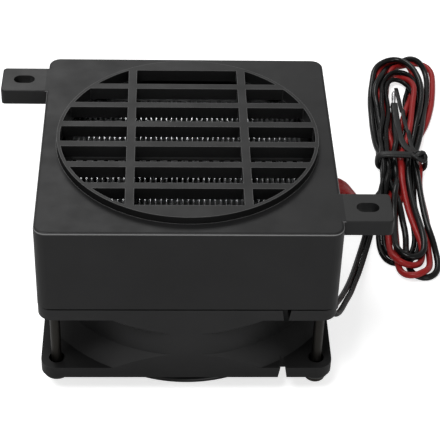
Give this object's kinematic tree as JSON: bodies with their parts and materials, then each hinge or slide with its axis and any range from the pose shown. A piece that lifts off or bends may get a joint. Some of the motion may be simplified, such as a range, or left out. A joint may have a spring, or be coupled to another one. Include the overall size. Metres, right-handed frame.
{
  "type": "ptc heater",
  "caption": "Square fan heater module: lugged plastic housing with a round slotted outlet over a finned heating core, an axial fan with a wire guard below, and a tied bundle of leads.",
  "frame": {"origin": "on the fan's axis, on the surface that the wire guard stands on", "axes": "+Z is the way the air blows, from the fan to the outlet grille; +X points at the side where the leads come out; +Y points to the rear of the pictured view"},
  "size_m": [0.1437, 0.1678, 0.0601],
  "materials": {
    "housing_plastic": "fine matt moulded",
    "grille_plastic": "satin moulded",
    "fan_plastic": "satin moulded",
    "holder_plastic": "matt moulded",
    "aluminium": "rolled sheet and extruded tube",
    "steel": "plated",
    "steel_black": "black oxide",
    "magnet": "sintered ferrite",
    "ceramic": "fired ceramic with metallised faces",
    "brass": "tinned strip and sintered sleeve",
    "copper": "enamelled wire",
    "board": "coated laminate",
    "guard_black": "powder coated wire",
    "insulation_red": "soft glossy insulation",
    "insulation_black": "soft satin insulation",
    "tie_plastic": "coated twist tie"
  },
  "bodies": {
    "heater_body": {"housing": "housing_plastic", "outlet_grille": "grille_plastic", "core_holder_left": "holder_plastic", "core_holder_right": "holder_plastic", "heating_tube_front": "aluminium", "heating_tube_rear": "aluminium", "ptc_stones_front": "ceramic", "ptc_stones_rear": "ceramic", "electrodes_front": "aluminium", "electrodes_rear": "aluminium", "fin_row_outer_front": "aluminium", "fin_row_inner_front": "aluminium", "fin_row_inner_rear": "aluminium", "fin_row_outer_rear": "aluminium", "centre_beam": "holder_plastic", "side_plate_front": "aluminium", "side_plate_rear": "aluminium", "terminal_bar_red": "brass", "terminal_bar_black": "brass", "fan_frame": "fan_plastic", "bearing_sleeve": "brass", "stator_core": "steel", "stator_coils": "copper", "motor_board": "board", "finger_guard": "guard_black", "guard_screws": "steel_black", "heater_lead_red": "insulation_red", "heater_lead_black": "insulation_black", "fan_lead_front": "insulation_black", "fan_lead_back": "insulation_black", "lead_hank": "insulation_black", "wire_tie": "tie_plastic"},
    "rotor": {"impeller": "fan_plastic", "rotor_yoke": "steel", "rotor_magnet": "magnet", "rotor_shaft": "steel"}
  },
  "joints": [
    {"name": "rotor_spin", "type": "hinge", "parent": "heater_body", "child": "rotor", "pos_m": [0, 0, 0.018], "axis": [0, 0, 1], "continuous": true}
  ]
}
